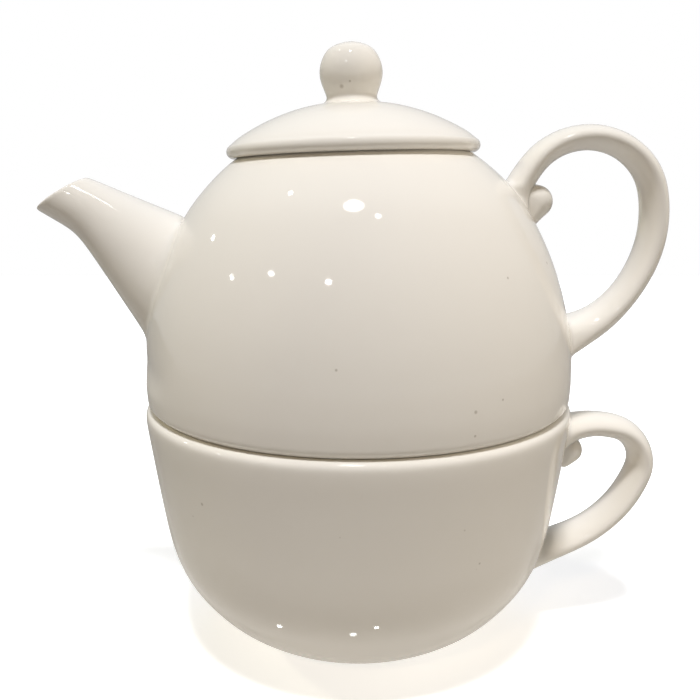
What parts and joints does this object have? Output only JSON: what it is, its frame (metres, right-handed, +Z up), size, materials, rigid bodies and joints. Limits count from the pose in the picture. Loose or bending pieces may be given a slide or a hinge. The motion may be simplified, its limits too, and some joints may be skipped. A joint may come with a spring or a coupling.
{
  "type": "tea for one teapot",
  "caption": "White glazed tea-for-one: a small lidded teapot with spout and loop handle, standing in its own handled cup.",
  "frame": {"origin": "centre of the cup's foot ring, in the plane the part stands on, on the common axis of cup and teapot", "axes": "+Z up along the common axis; -X towards the spout; +X towards both handles"},
  "size_m": [0.1655, 0.113, 0.1569],
  "materials": {
    "glaze": "warm white, glossy"
  },
  "bodies": {
    "root": {"cup": "glaze", "teapot": "glaze", "lid": "glaze"}
  },
  "joints": []
}
